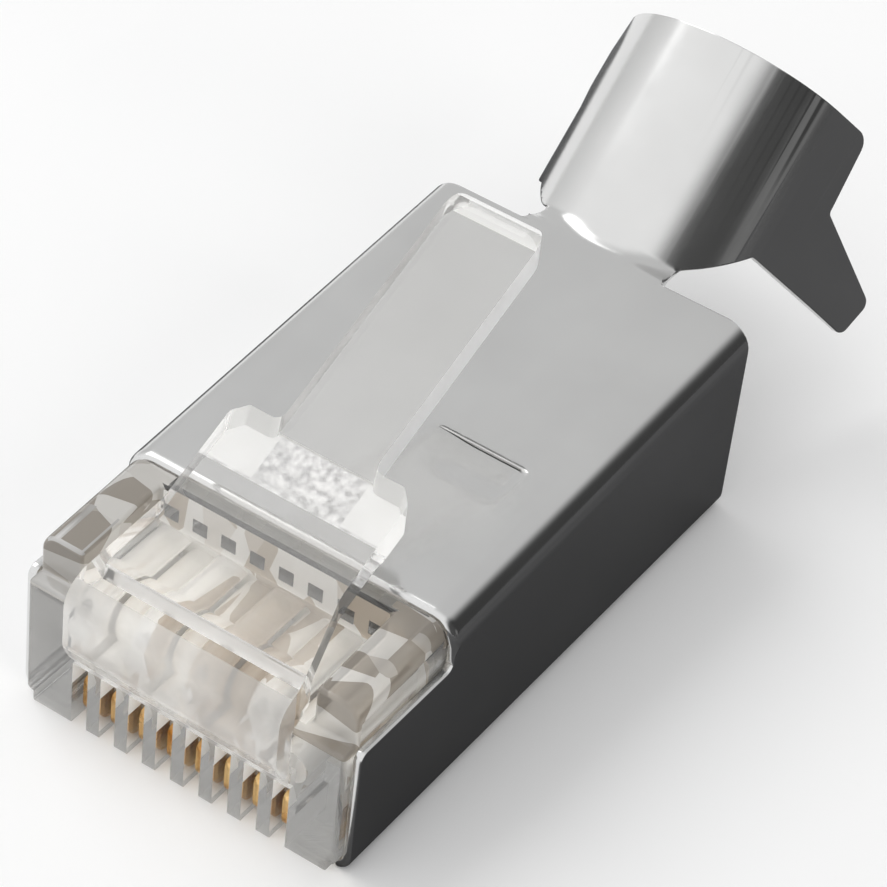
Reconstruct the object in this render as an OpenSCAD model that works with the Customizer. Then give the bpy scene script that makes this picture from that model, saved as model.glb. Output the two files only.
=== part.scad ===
// Shielded modular plug with eight contacts, a latch lever and a crimp tail.
// X is across the plug, Y runs from the front face to the cable, Z is up.
// The latch is on top. The origin is the middle of the front face's lower edge.

/* [Plug body] */
// Width across the shield
plug_w = 11.7; // [11.4:0.1:12.4]
// Length from the front face to the rear edge of the shield
plug_l = 20.4; // [19:0.1:24]
// Height of the nose
nose_h = 6.1; // [5.9:0.05:6.5]
// Height at the rear edge of the shield
rear_h = 7.2; // [6.9:0.05:8]
// Radius of the long upper edges
top_r = 0.9; // [0.7:0.05:1.1]
// Radius of the long lower edges
low_r = 0.55; // [0.5:0.05:0.7]

/* [Shield] */
// Thickness of the sheet
sheet_t = 0.28; // [0.2:0.01:0.32]
// Where the roof starts behind the front face
roof_y = 4.75; // [4.5:0.05:5.2]
// Where the side walls start behind the front face
side_y = 0.35; // [0.2:0.05:0.5]
// Where the floor starts behind the front face
floor_y = 8.6; // [8:0.1:10]
// Width of the seam along the floor
seam_w = 0.12; // [0.05:0.01:0.3]
// Width of the slit behind the pressed tongue in the roof
slit_w = 0.16; // [0.1:0.01:0.2]
// Length of that slit across the plug
slit_l = 2.9; // [2:0.1:3.2]
// Distance from the front face to the slit's rear edge
slit_y = 11.05; // [10:0.05:12]
// Middle of the slit, to the right of the plug's middle
slit_x = 2.25; // [2:0.05:2.6]
// Gap between the shield and the housing
fit_gap = 0.03; // [0.02:0.01:0.05]

/* [Crimp tail] */
// Width of the neck
neck_w = 5; // [4.4:0.1:5.4]
// Flat length of the neck before its bend
neck_l = 0.15; // [0.1:0.05:0.5]
// Radius of the neck's bend
neck_r = 0.8; // [0.7:0.05:1.2]
// Pitch of the barrel
barrel_pitch = 39; // [36:1:42]
// Outer radius of the barrel
barrel_r = 4.22; // [4:0.02:4.4]
// Length of the barrel along its crown
barrel_l = 6.6; // [6.4:0.1:7]
// Angle from the crown to the end of the round part on each side
barrel_half = 66; // [60:1:72]
// Length of the plain flange past the round part
flange_l = 1.7; // [1.4:0.1:2.2]
// Length of the plain flange in front of the left finger
left_flange_l = 2.3; // [1.6:0.1:3]
// Length of a finger past the round part
finger_l = 5.6; // [5:0.1:6]
// Width of a finger at its root
finger_root_w = 2.8; // [2.4:0.1:3]
// Width of a finger at its tip
finger_tip_w = 1.4; // [1.2:0.1:1.8]

/* [Nose] */
// Height of the ledge along the front
ledge_h = 4.7; // [4.6:0.05:4.9]
// Depth of that ledge
ledge_d = 0.55; // [0.5:0.05:0.65]
// Height of the floor under the latch
valley_h = 4.7; // [4.6:0.05:4.8]
// Where the space under the latch ends
valley_y = 4.15; // [4:0.05:4.3]
// Gap beside the root of the latch
root_gap = 0.3; // [0.25:0.05:0.5]
// Wall of the housing around the cable
wall = 0.75; // [0.6:0.05:0.9]
// Distance from the housing's rear end to the shield's rear edge
rear_step = 0.3; // [0.2:0.05:0.6]

/* [Latch] */
// Angle of the latch above the plug's base
latch_angle = 23.2; // [22:0.1:24]
// How far the latch's upper face, carried on to the front face, lies below the nose's top
latch_drop = 0.13; // [0.05:0.01:0.2]
// Thickness of the latch
latch_t = 0.8; // [0.7:0.05:0.85]
// How far the root stands out of the front face
root_out = 0.65; // [0.5:0.05:0.8]
// Distance from the front face to the root's inner face
root_in = 1.1; // [1:0.05:1.2]
// Height of the root's lower edge on the front face
root_h = 2.85; // [2.8:0.05:3.1]
// Height over which the root swells out of the front face
root_swell = 0.8; // [0.6:0.1:1]
// Width of the root
root_w = 7.5; // [7.2:0.1:7.6]
// Where the root starts to narrow behind the front face
narrow_y = 0.2; // [0.1:0.1:0.6]
// Distance from the bending line to the end of the narrowing
narrow_l = 0.72; // [0.5:0.02:1]
// Width across the shoulders
shoulder_w = 6.2; // [6:0.05:6.4]
// Distance from the front face to the shoulders' rear faces
shoulder_y = 6.3; // [6.1:0.05:6.6]
// Cut of the shoulders' rear corners, across the plug
shoulder_cut = 0.4; // [0.3:0.05:0.5]
// Extra thickness under the shoulders
shoulder_t = 0.15; // [0.05:0.05:0.2]
// Length of that thicker pad
pad_l = 1.6; // [1.2:0.1:2]
// Width of the lever behind the shoulders
lever_w = 3.25; // [3:0.05:3.4]
// Distance from the front face to the end of the lever
lever_y = 14.75; // [13:0.05:16]
// Distance from the front face to the line on which the root bends
hinge_y = 2.18; // [2.1:0.02:2.3]
// Gap at the split on that line
hinge_gap = 0.05; // [0.03:0.01:0.08]

/* [Contacts and wires] */
// Distance between neighbouring contacts
pitch = 1.02; // [1:0.01:1.04]
// Thickness of a contact
contact_t = 0.34; // [0.3:0.01:0.36]
// Gap on each side of a contact
contact_gap = 0.02; // [0.01:0.01:0.03]
// Width of a front slot
slot_w = 0.56; // [0.5:0.02:0.6]
// Height of the front slots
slot_h = 2.4; // [2.2:0.05:2.5]
// Height of the contacts' lower edges
contact_z = 0.1; // [0.05:0.05:0.3]
// Distance from the front face to the contacts
contact_y = 0.4; // [0.35:0.05:0.5]
// Length of a contact
contact_l = 3.9; // [3.6:0.1:4]
// Height of a contact's body, without its prongs
contact_h = 1.45; // [1.2:0.05:1.6]
// Width of a prong at its root
prong_w = 0.5; // [0.4:0.05:0.6]
// Distance from the contact's front to its first prong
prong_y = 1.2; // [1:0.1:1.5]
// Distance between the prongs
prong_pitch = 1.5; // [1.2:0.1:1.6]
// Length of a prong's point
prong_tip = 0.35; // [0.2:0.05:0.5]
// Diameter of a wire channel
wire_d = 1.1; // [1:0.02:1.12]
// Height of the lower row of wires
wire_low = 2.8; // [2.75:0.05:2.85]
// Height of the upper row of wires
wire_high = 3.75; // [3.7:0.05:3.8]
// Where the wire channels end behind the front face
wire_y = 0.9; // [0.8:0.05:1]
// Where the load bar starts behind the front face
bar_y = 4.6; // [4.5:0.05:4.8]
// Length of the load bar
bar_l = 5.4; // [5:0.1:6]
// Width of the load bar
bar_w = 8.6; // [8.5:0.05:8.8]
// Gap around the load bar
bar_gap = 0.05; // [0.03:0.01:0.08]

/* [Hidden] */
$fn = 64;

contacts = 8;
// Extra length by which a cutting shape passes through
over = 1;
// A length greater than any of the plug
far = 40;

// Slope of the roof
slope = atan((rear_h - nose_h) / (plug_l - ledge_d));
// Distance from the shield's outer face to the housing
skin = sheet_t + fit_gap;

// Height of the latch's upper face, carried on to the front face
latch_h = nose_h - latch_drop;
// The bending line of the latch, at half its thickness
hinge_z = latch_h + hinge_y * tan(latch_angle) - latch_t / 2 / cos(latch_angle);
// The split faces back by this angle, so that the latch clears it when it is pressed
split_angle = 6;
// Fillets of the root: its lip, its swelling, its crown and the curve behind it
root_fillets = [0.25, 0.6, 0.9, 0.4];
// Fillets of the latch's plan: where it narrows, where that ends, and at the lever's root and tip
plan_fillets = [1.2, 1.5, 0.3, 0.5];
// Fillets of a contact: its nose, over the nose, and the two corners at its rear
contact_fillets = [0.55, 0.2, 0.1, 0.3];
// A front slot behind the contact's face: room past the contact, the ceiling's slope and its low part
slot_room = 0.3;
slot_step = 0.55;
slot_slope = 0.7;
slot_low = 1;
// Fillets of the load bar's outline, below and above
bar_fillets = [0.3, 0.5];
// Material of the load bar below and above its holes
bar_wall = 0.35;
// Fillets of the shoulders and of the lever's end, seen from the side
corner_r = 0.15;
tip_r = 0.25;

// Where the crown of the barrel starts, worked out along the neck's outer face
bend_y = plug_l + neck_l * cos(slope) + neck_r * (sin(barrel_pitch) - sin(slope));
bend_z = rear_h + neck_l * sin(slope) + neck_r * (cos(slope) - cos(barrel_pitch));
// Straight length between the bend and the barrel, in which the sheet turns round
turn_l = 0.68;
crown_y = bend_y + turn_l * cos(barrel_pitch);
crown_z = bend_z + turn_l * sin(barrel_pitch);
// Depth at which the barrel's wall stops being round
round_d = barrel_r * (1 - cos(barrel_half));
// Setback of the barrel's front rim at the crown and where the right and left wings start
crown_s = -0.45;
rim_s = 1.2;
left_s = 0.75;
// Height below the crown at which the rim leaves the neck, on the right and on the left
right_drop = 0.8;
left_drop = 1.05;
// Height above the round part's end at which the rim turns square
rim_blend = 0.15;
// Widening of the neck on each side past its bend, for each unit of length
neck_flare = 0.75;
// How much lower one corner of a finger's tip is than the other
tip_lean = 0.4;
// Joined sheets lap by this length and are sunk by this depth into the wall that they join
lap = 0.3;
sink = 0.02;

function latch_top(y) = latch_h + y * tan(latch_angle);
function contact_x(i) = (i - (contacts + 1) / 2) * pitch;
function is_high(i) = i % 2 == 1;
function wire_z(i) = is_high(i) ? wire_high : wire_low;

// A corner [x, y, r] of a closed outline, turned into points on its fillet
function unit(v) = v / norm(v);
function corner(p, c, n, steps) =
    let (a = unit([p[0] - c[0], p[1] - c[1]]), b = unit([n[0] - c[0], n[1] - c[1]]))
    let (half = acos(max(-1, min(1, a * b))) / 2, mid = unit(a + b))
    let (centre = [c[0], c[1]] + mid * c[2] / sin(half), reach = c[2] / tan(half))
    let (start = [c[0], c[1]] + a * reach - centre, stop = [c[0], c[1]] + b * reach - centre)
    let (from = atan2(start[1], start[0]), turn = atan2(stop[1], stop[0]) - from)
    let (sweep = turn > 180 ? turn - 360 : turn < -180 ? turn + 360 : turn)
    [for (i = [0:steps]) centre + c[2] * [cos(from + sweep * i / steps), sin(from + sweep * i / steps)]];
function outline(pts, steps = 6) =
    [for (i = [0:len(pts) - 1])
        each (pts[i][2] > 0
            ? corner(pts[(i + len(pts) - 1) % len(pts)], pts[i], pts[(i + 1) % len(pts)], steps)
            : [[pts[i][0], pts[i][1]]])];

// Extrudes a side view, drawn as Y and Z, across the plug
module across(w, x = 0) {
    translate([x - w / 2, 0, 0])
        rotate([90, 0, 90])
            linear_extrude(w)
                children();
}

// Extrudes a front view, drawn as X and Z, between two distances behind the front face
module between(y0, y1) {
    translate([0, y1, 0])
        rotate([90, 0, 0])
            linear_extrude(y1 - y0)
                children();
}

module slab(w, y0, y1, z0, z1, x = 0) {
    translate([x - w / 2, y0, z0])
        cube([w, y1 - y0, z1 - z0]);
}

// A front view with flat sides and rounded upper corners, its top at height 0
module round_top(w, r) {
    translate([-w / 2, -far])
        square([w, far - r]);
    translate([r - w / 2, -r - over])
        square([w - 2 * r, r + over]);
    for (side = [-1, 1])
        translate([side * (w / 2 - r), -r])
            circle(r);
}

// The plug's body: level below, sloping above, set in from the outer faces
module body(y0, y1, side, top, low) {
    w = plug_w - 2 * side;
    intersection() {
        between(y0, y1)
            translate([0, low])
                mirror([0, 1])
                    round_top(w, max(low_r - side, 0.05));
        translate([0, ledge_d, nose_h])
            rotate([slope, 0, 0])
                between(-far, far)
                    translate([0, -top])
                        round_top(w, max(top_r - side, 0.05));
    }
}

// Plan of the latch and its root
module latch_plan() {
    half = [[root_w / 2, -root_out - over, 0],
            [root_w / 2, narrow_y, plan_fillets[0]],
            [shoulder_w / 2, hinge_y + narrow_l, plan_fillets[1]],
            [shoulder_w / 2, shoulder_y - shoulder_cut, corner_r],
            [shoulder_w / 2 - shoulder_cut, shoulder_y, corner_r],
            [lever_w / 2, shoulder_y, plan_fillets[2]],
            [lever_w / 2, lever_y, plan_fillets[3]]];
    other = [for (i = [len(half) - 1:-1:0]) [-half[i][0], half[i][1], half[i][2]]];
    polygon(outline(concat(half, other)));
}

// Side view of the lever with its round end on the bending line
module lever_side() {
    t = latch_t / 2;
    reach = (lever_y - hinge_y) / cos(latch_angle);
    heel = (shoulder_y - hinge_y) / cos(latch_angle);
    translate([hinge_y, hinge_z])
        rotate(latch_angle) {
            circle(t);
            polygon(outline([[0, -t, 0], [heel - pad_l - 4 * shoulder_t, -t, 0],
                             [heel - pad_l, -t - shoulder_t, 0],
                             [heel, -t - shoulder_t, shoulder_t / 2], [heel, -t, 0],
                             [reach, -t, tip_r], [reach, t, tip_r], [0, t, 0]]));
        }
}

// Side view of the root: it rises out of the front face and curves over into the lever
module root_side() {
    drop = latch_t / cos(latch_angle);
    end = hinge_y + over;
    difference() {
        polygon(outline([[-root_out * 0.4, root_h, root_fillets[0]],
                         [-root_out, root_h + root_swell, root_fillets[1]],
                         [-root_out, latch_top(-root_out), root_fillets[2]], [end, latch_top(end), 0],
                         [end, latch_top(end) - drop, 0],
                         [root_in, latch_top(root_in) - drop, root_fillets[3]],
                         [root_in, root_h, 0]]));
        translate([hinge_y, hinge_z]) {
            circle(latch_t / 2 + hinge_gap);
            rotate(split_angle)
                translate([0, -over * 2])
                    square([over * 3, over * 4]);
        }
    }
}

// Side view of one front slot: tall at the face, low behind it
module slot_side() {
    back = contact_y + contact_l + slot_room;
    step = contact_y + slot_step;
    polygon([[-over, -over], [-over, slot_h], [contact_y, slot_h], [step, slot_h - slot_slope],
             [step, slot_low], [back, slot_low], [back, -over]]);
}

// Side view of one contact: rounded nose, level edge and two prongs towards the wire
module contact_side(high) {
    y0 = contact_y;
    y1 = contact_y + contact_l;
    base = contact_z + contact_h;
    tip = (high ? wire_high : wire_low) - wire_d / 2 - bar_gap;
    root = high ? base + wire_high - wire_low : base;
    prongs = [for (k = [0, 1])
        let (y = y0 + prong_y + k * prong_pitch)
        each [[y, root, 0], [y, tip - prong_tip, 0], [y + prong_w / 2, tip, 0],
              [y + prong_w, tip - prong_tip, 0], [y + prong_w, root, 0]]];
    step = y0 + prong_y - prong_w;
    heel = y0 + prong_y + prong_pitch + 2 * prong_w;
    shoulders = high ? [[step, base, 0], [step, root, 0]] : [];
    heels = high ? [[heel, root, 0], [heel, base, 0]] : [];
    polygon(outline(concat([[y0, contact_z, contact_fillets[0]], [y0, base, contact_fillets[1]]],
                           shoulders, prongs, heels,
                           [[y1, base, contact_fillets[2]], [y1, contact_z, contact_fillets[3]]])));
}

module contact(i) {
    color("goldenrod")
        across(contact_t, contact_x(i))
            contact_side(is_high(i));
}

// The bar's outline as a front view, grown by a gap
module bar_front(gap) {
    half = bar_w / 2 + gap;
    z0 = wire_low - wire_d / 2 - bar_wall - gap;
    z1 = wire_high + wire_d / 2 + bar_wall + gap;
    polygon(outline([[-half, z0, bar_fillets[0]], [half, z0, bar_fillets[0]],
                     [half, z1, bar_fillets[1]], [-half, z1, bar_fillets[1]]], 4));
}

module wire_holes(y0, y1) {
    for (i = [1:contacts])
        translate([contact_x(i), y1, wire_z(i)])
            rotate([90, 0, 0])
                cylinder(h = y1 - y0, d = wire_d);
}

module housing() {
    end = plug_l - rear_step;
    blade_w = contact_t + 2 * contact_gap;
    lip = low_r + fit_gap;
    color("white")
        difference() {
            union() {
                difference() {
                    union() {
                        body(0, end, skin, skin, skin);
                        // The nose comes up flush with the roof
                        body(0, roof_y - fit_gap, skin, 0, skin);
                        slab(plug_w - 2 * lip, 0, floor_y - fit_gap, 0, 1);
                    }
                    slab(plug_w, -over, ledge_d, ledge_h, far);
                    slab(root_w + 2 * root_gap, -over, valley_y, valley_h, far);
                }
                intersection() {
                    across(root_w)
                        root_side();
                    linear_extrude(far)
                        latch_plan();
                }
            }
            for (i = [1:contacts]) {
                across(slot_w, contact_x(i))
                    slot_side();
                slab(blade_w, contact_y - 0.05, contact_y + contact_l + 0.05, -over, wire_z(i), contact_x(i));
            }
            wire_holes(wire_y, bar_y + over);
            between(bar_y - bar_gap, bar_y + bar_l + over)
                bar_front(bar_gap);
            // The cable cavity
            body(bar_y + bar_l, end + over, skin + wall, skin + wall, skin + wall);
        }
}

module latch() {
    color("white")
        intersection() {
            across(root_w)
                lever_side();
            linear_extrude(far)
                latch_plan();
        }
}

module load_bar() {
    color("whitesmoke")
        difference() {
            between(bar_y, bar_y + bar_l)
                bar_front(0);
            wire_holes(bar_y - over, bar_y + bar_l + over);
            // The upper holes are open on top at the front
            for (i = [1:contacts])
                if (is_high(i))
                    slab(wire_d * 0.8, bar_y - over, bar_y + 0.9, wire_high, far, contact_x(i));
        }
}

// Places what is drawn along the barrel: Y along its crown, Z out of the crown
module along_barrel() {
    translate([0, crown_y, crown_z])
        rotate([barrel_pitch, 0, 0])
            children();
}

// Turns what is drawn at the barrel's crown round to the end of its round part
module at_round_end(side) {
    translate([0, 0, -barrel_r])
        rotate([0, side * barrel_half, 0])
            children();
}

// Side view of one half of the barrel, its front rim set back towards the wing
module rim_side(drop, rim) {
    polygon([[crown_s, over], [crown_s, -drop], [rim, rim_blend - round_d], [rim, -far],
             [barrel_l, -far], [barrel_l, over]]);
}

// The round part of the barrel
module barrel_round() {
    length = barrel_l + 2 * over;
    difference() {
        intersection() {
            translate([0, -over, -barrel_r])
                rotate([-90, 0, 0])
                    cylinder(h = length, r = barrel_r);
            union() {
                across(far, far / 2 - sink)
                    rim_side(right_drop, rim_s);
                across(far, sink - far / 2)
                    rim_side(left_drop, left_s);
            }
        }
        translate([0, -2 * over, -barrel_r])
            rotate([-90, 0, 0])
                cylinder(h = length + 2 * over, r = barrel_r - sheet_t);
        for (side = [-1, 1])
            at_round_end(side)
                translate([side > 0 ? 0 : -far, -far / 2, -far / 2])
                    cube(far);
    }
}

// A wing's outline: distance along the barrel and distance past the round part
function right_wing(front) =
    outline([[rim_s, -lap, 0], [rim_s - 0.1, finger_l - tip_lean, 0.35],
             [front + finger_tip_w, finger_l, 0.35], [front + finger_root_w, flange_l + tip_lean / 2, 0.15],
             [barrel_l, flange_l, 0.5], [barrel_l, -lap, 0]]);
function left_wing(back) =
    outline([[left_s, -lap, 0], [left_s, left_flange_l, 0.5],
             [back - finger_root_w, left_flange_l + tip_lean / 2, 0.15],
             [back - finger_tip_w, finger_l, 0.35], [back, finger_l - tip_lean, 0.35], [barrel_l, -lap, 0]]);

module wing(side, points) {
    at_round_end(side)
        translate([0, 0, barrel_r - sheet_t + sink])
            linear_extrude(sheet_t - 2 * sink)
                polygon([for (p = points) [side * p[1], p[0]]]);
}

// The right finger stands in front and the left one behind, so that they pass when closed
module barrel() {
    along_barrel() {
        barrel_round();
        wing(1, right_wing(rim_s - 0.1));
        wing(-1, left_wing(barrel_l - 0.2));
    }
}

// The neck's outer face along its middle: [y, z, pitch] after a length of sheet
function neck_path(s) =
    let (bend = neck_r * (barrel_pitch - slope) * PI / 180, t = s - neck_l)
    t < 0 ? [plug_l + s * cos(slope), rear_h + s * sin(slope), slope]
    : t < bend ? let (a = slope + t / neck_r * 180 / PI)
        [plug_l + neck_l * cos(slope) + neck_r * (sin(a) - sin(slope)),
         rear_h + neck_l * sin(slope) + neck_r * (cos(slope) - cos(a)), a]
    : [bend_y + (t - bend) * cos(barrel_pitch), bend_z + (t - bend) * sin(barrel_pitch), barrel_pitch];

// Smooth step from 0 to 1
function ease(t) = let (u = max(0, min(1, t))) u * u * (3 - 2 * u);

// One ring of the neck: a strip whose curvature grows from flat to the barrel's
function neck_ring(s, total, cols) =
    let (p = neck_path(s), turned = total - rim_s / 2 + crown_s)
    let (k = 0.001 + ease((s - neck_l) / (turned - neck_l)) * (1 / barrel_r - 0.001), r = 1 / k)
    let (past = max(0, s - (total - rim_s / 2 - turn_l)), half = neck_w / 2 + neck_flare * past)
    [for (j = [0:2 * cols + 1])
        let (outer = j <= cols, col = outer ? j : 2 * cols + 1 - j)
        let (a = (2 * col / cols - 1) * half * k * 180 / PI, d = outer ? sink : sheet_t - sink)
        let (x = (r - d) * sin(a), h = (r - d) * cos(a) - r)
        [x, p[0] - h * sin(p[2]), p[1] + h * cos(p[2])]];

module neck() {
    rows = 12;
    cols = 12;
    start = -0.6;
    total = neck_l + neck_r * (barrel_pitch - slope) * PI / 180 + turn_l + rim_s / 2;
    n = 2 * cols + 2;
    pts = [for (i = [0:rows]) each neck_ring(start + (total - start) * i / rows, total, cols)];
    sides = [for (i = [0:rows - 1], j = [0:n - 1])
        let (a = i * n + j, b = i * n + (j + 1) % n)
        each [[a, a + n, b], [b, a + n, b + n]]];
    caps = [for (j = [0:cols - 1])
        let (a = j, b = j + 1, c = n - 2 - j, d = n - 1 - j, e = rows * n)
        each [[a, b, c], [a, c, d], [e + a, e + c, e + b], [e + a, e + d, e + c]]];
    polyhedron(pts, concat(sides, caps));
}

// Slit behind a tongue in the roof that presses on the housing
module roof_slit() {
    slab(slit_l, slit_y - slit_w, slit_y, nose_h - top_r, far, slit_x);
}

module shield() {
    color("silver")
        union() {
            difference() {
                body(side_y, plug_l, 0, 0, 0);
                body(-over, plug_l + over, sheet_t, sheet_t, sheet_t);
                // The nose is open above the ledge
                slab(plug_w + over, -over, roof_y, ledge_h, far);
                // The floor is open under the contacts, with a seam behind them
                slab(plug_w - 2 * low_r, -over, floor_y, -over, 1);
                slab(seam_w, -over, plug_l + over, -over, 1);
                roof_slit();
            }
            neck();
            barrel();
        }
}

housing();
latch();
shield();
load_bar();
contact(1);  // contact_1
contact(2);  // contact_2
contact(3);  // contact_3
contact(4);  // contact_4
contact(5);  // contact_5
contact(6);  // contact_6
contact(7);  // contact_7
contact(8);  // contact_8
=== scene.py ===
# %% [markdown]
# # An eight-contact plug in a metal shield
# The plug is three things at once: a clear moulded body with its latch, a sheet-metal jacket folded
# round it, and eight gold blades in slots at the front. The imported model says where each piece is
# and how the latch turns, so this lesson loads it first and dresses it piece by piece.

# %% Load the imported model
import math
import bmesh
import bpy
from mathutils import Matrix, Vector


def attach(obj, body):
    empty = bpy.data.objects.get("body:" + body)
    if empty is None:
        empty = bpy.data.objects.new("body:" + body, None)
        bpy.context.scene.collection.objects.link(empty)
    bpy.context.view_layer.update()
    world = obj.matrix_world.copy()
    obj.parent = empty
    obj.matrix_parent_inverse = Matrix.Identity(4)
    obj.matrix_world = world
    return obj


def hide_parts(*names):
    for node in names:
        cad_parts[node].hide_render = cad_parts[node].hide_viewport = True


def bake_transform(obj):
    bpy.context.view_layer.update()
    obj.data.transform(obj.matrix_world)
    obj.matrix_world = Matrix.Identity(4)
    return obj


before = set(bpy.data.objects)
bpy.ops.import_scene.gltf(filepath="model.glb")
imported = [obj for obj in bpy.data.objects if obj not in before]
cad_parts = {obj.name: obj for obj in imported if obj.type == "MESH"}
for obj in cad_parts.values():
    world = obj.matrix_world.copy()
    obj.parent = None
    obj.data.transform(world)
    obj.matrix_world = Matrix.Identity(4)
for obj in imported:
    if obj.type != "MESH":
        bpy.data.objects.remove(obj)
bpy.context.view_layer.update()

# %% [markdown]
# The camera comes first, because every later choice is judged through it. The photo was taken from
# the front right and above with a long lens, and a little rolled. The place below was found by
# lining up the plug's straight edges with the picture.

# %% Camera
MM = 0.001
camera_data = bpy.data.cameras.new("camera")
camera_data.sensor_width = 36
camera_data.lens = 152.3
camera_data.clip_start = 0.005
camera_data.clip_end = 5
camera = bpy.data.objects.new("camera", camera_data)
right = Vector((0.818975, 0.566705, 0.090141))
up = Vector((-0.431754, 0.505081, 0.747316))
back = right.cross(up)
turn = Matrix((right, up, back)).transposed().to_4x4()
camera.matrix_world = Matrix.Translation(Vector((42.5545, -60.5063, 78.4868)) * MM) @ turn
bpy.context.scene.collection.objects.link(camera)
bpy.context.scene.camera = camera
print("camera looks along", [round(v, 3) for v in -back])

# %% [markdown]
# Moulded and stamped parts are drawings with rounded corners that are pushed through a thickness.
# Two small helpers do most of the work in this lesson: one rounds the corners of a drawing, and one
# turns a drawing into a solid. Drawings are in millimetres, and the mesh is scaled at the end.

# %% Rounded drawings
def rounded(corners, steps=6):
    """A closed drawing from corners (x, y, radius), with each corner turned into a fillet."""
    points = []
    count = len(corners)
    for i, (x, y, radius) in enumerate(corners):
        here = Vector((x, y))
        if radius <= 0:
            points.append(here)
            continue
        before = (Vector(corners[i - 1][:2]) - here).normalized()
        after = (Vector(corners[(i + 1) % count][:2]) - here).normalized()
        half = before.angle(after) / 2
        centre = here + (before + after).normalized() * radius / math.sin(half)
        start = here + before * radius / math.tan(half) - centre
        stop = here + after * radius / math.tan(half) - centre
        sweep = start.angle_signed(stop)
        for k in range(steps + 1):
            points.append(centre + Matrix.Rotation(-sweep * k / steps, 2) @ start)
    return points


print("a rounded square has", len(rounded([(0, 0, 1), (4, 0, 1), (4, 4, 1), (0, 4, 1)])), "points")

# %% From drawings to meshes
def new_piece(name, mesh_in_mm):
    """Scales a bmesh from millimetres to metres and puts it in the scene."""
    bmesh.ops.scale(mesh_in_mm, vec=(MM, MM, MM), verts=mesh_in_mm.verts)
    bmesh.ops.recalc_face_normals(mesh_in_mm, faces=mesh_in_mm.faces)
    data = bpy.data.meshes.new(name)
    mesh_in_mm.to_mesh(data)
    mesh_in_mm.free()
    piece = bpy.data.objects.new(name, data)
    bpy.context.scene.collection.objects.link(piece)
    return piece


def loft(name, rings):
    """A closed solid through rings of 3-D points, all with the same number of points."""
    bm = bmesh.new()
    rows = [[bm.verts.new(p) for p in ring] for ring in rings]
    for a, b in zip(rows, rows[1:]):
        for i in range(len(a)):
            j = (i + 1) % len(a)
            bm.faces.new((a[i], a[j], b[j], b[i]))
    bm.faces.new(rows[0][::-1])
    bm.faces.new(rows[-1])
    return new_piece(name, bm)


def push_across(name, side_view, width, x=0.0):
    """A side view (y, z) pushed across the plug."""
    return loft(name, [[(x + s * width / 2, p[0], p[1]) for p in side_view] for s in (-1, 1)])


def push_up(name, plan, z0, z1):
    """A plan (x, y) pushed upwards."""
    return loft(name, [[(p[0], p[1], z) for p in plan] for z in (z0, z1)])


def push_back(name, front_view, y0, y1):
    """A front view (x, z) pushed towards the cable."""
    return loft(name, [[(p[0], y, p[1]) for p in front_view] for y in (y0, y1)])


def block(name, x0, x1, y0, y1, z0, z1):
    """A square block, used to cut with."""
    return push_back(name, [(x0, z0), (x1, z0), (x1, z1), (x0, z1)], y0, y1)


print("drawing tools are ready")

# %% Modifiers that are applied at once
def settle(piece):
    """Applies every modifier of a piece."""
    with bpy.context.temp_override(object=piece, active_object=piece, selected_objects=[piece]):
        for name in [m.name for m in piece.modifiers]:
            bpy.ops.object.modifier_apply(modifier=name)
    return piece


def combine(piece, others, how):
    """Joins, cuts or trims a piece with other solids, which are used up."""
    for other in others:
        change = piece.modifiers.new(how.lower(), "BOOLEAN")
        change.operation = how
        change.solver = "MANIFOLD"
        change.object = other
        settle(piece)
        bpy.data.objects.remove(other)
    return piece


def soften(piece, width, segments=2, angle=30):
    """Rounds the sharp edges of a piece by a small bevel."""
    bevel = piece.modifiers.new("bevel", "BEVEL")
    bevel.width = width * MM
    bevel.segments = segments
    bevel.limit_method = "ANGLE"
    bevel.angle_limit = math.radians(angle)
    bevel.use_clamp_overlap = True
    return settle(piece)


def shade(piece, angle=35):
    """Shades a piece smooth, apart from its sharp edges, with flat faces that stay flat."""
    for face in piece.data.polygons:
        face.use_smooth = True
    piece.data.set_sharp_from_angle(angle=math.radians(angle))
    weighted = piece.modifiers.new("flat faces", "WEIGHTED_NORMAL")
    weighted.keep_sharp = True
    return piece


print("mesh tools are ready")

# %% [markdown]
# ## The clear moulding
# Body and latch are one injection moulding in clear polycarbonate. The latch is a lever that grows
# out of the front face, curves over and rises towards the cable, and it works because its thin
# root bends. So one mesh is made here for both. The outer shape is
# made first and its edges are rounded; the slots and channels are cut afterwards, because the real
# ones are left by thin blades in the mould and have crisp edges.

# %% Sizes of the body, in millimetres
plug_w = 11.7
plug_l = 20.4
nose_h = 6.1
rear_h = 7.2
top_r = 0.9
low_r = 0.55
sheet = 0.28
skin = sheet + 0.03
roof_y = 4.75
ledge_d = 0.55
ledge_h = 4.7
slope = math.atan((rear_h - nose_h) / (plug_l - ledge_d))


def roof_at(y):
    """Height of the plug's top behind the front face."""
    return nose_h + (y - ledge_d) * math.tan(slope)


def section(y, side, top, low, steps=8):
    """The plug's cross-section at y, set in from its outer faces."""
    half = plug_w / 2 - side
    r_top, r_low = max(top_r - side, 0.05), max(low_r - side, 0.05)
    corners = [(half, low, r_low), (half, roof_at(y) - top, r_top),
               (-half, roof_at(y) - top, r_top), (-half, low, r_low)]
    return [(p[0], y, p[1]) for p in rounded(corners, steps)]


print("roof slope in degrees:", round(math.degrees(slope), 2))

# %% Sizes of the latch, in millimetres
latch_angle = math.radians(23.2)
latch_h = 5.97
latch_t = 0.8
root_out, root_in, root_h, root_w = 0.65, 1.1, 2.85, 7.5
shoulder_w, shoulder_y, shoulder_t = 6.2, 6.3, 0.15
lever_w, lever_y = 3.25, 14.75
hinge_y = 2.18
hinge_z = latch_h + hinge_y * math.tan(latch_angle) - latch_t / 2 / math.cos(latch_angle)


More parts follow.
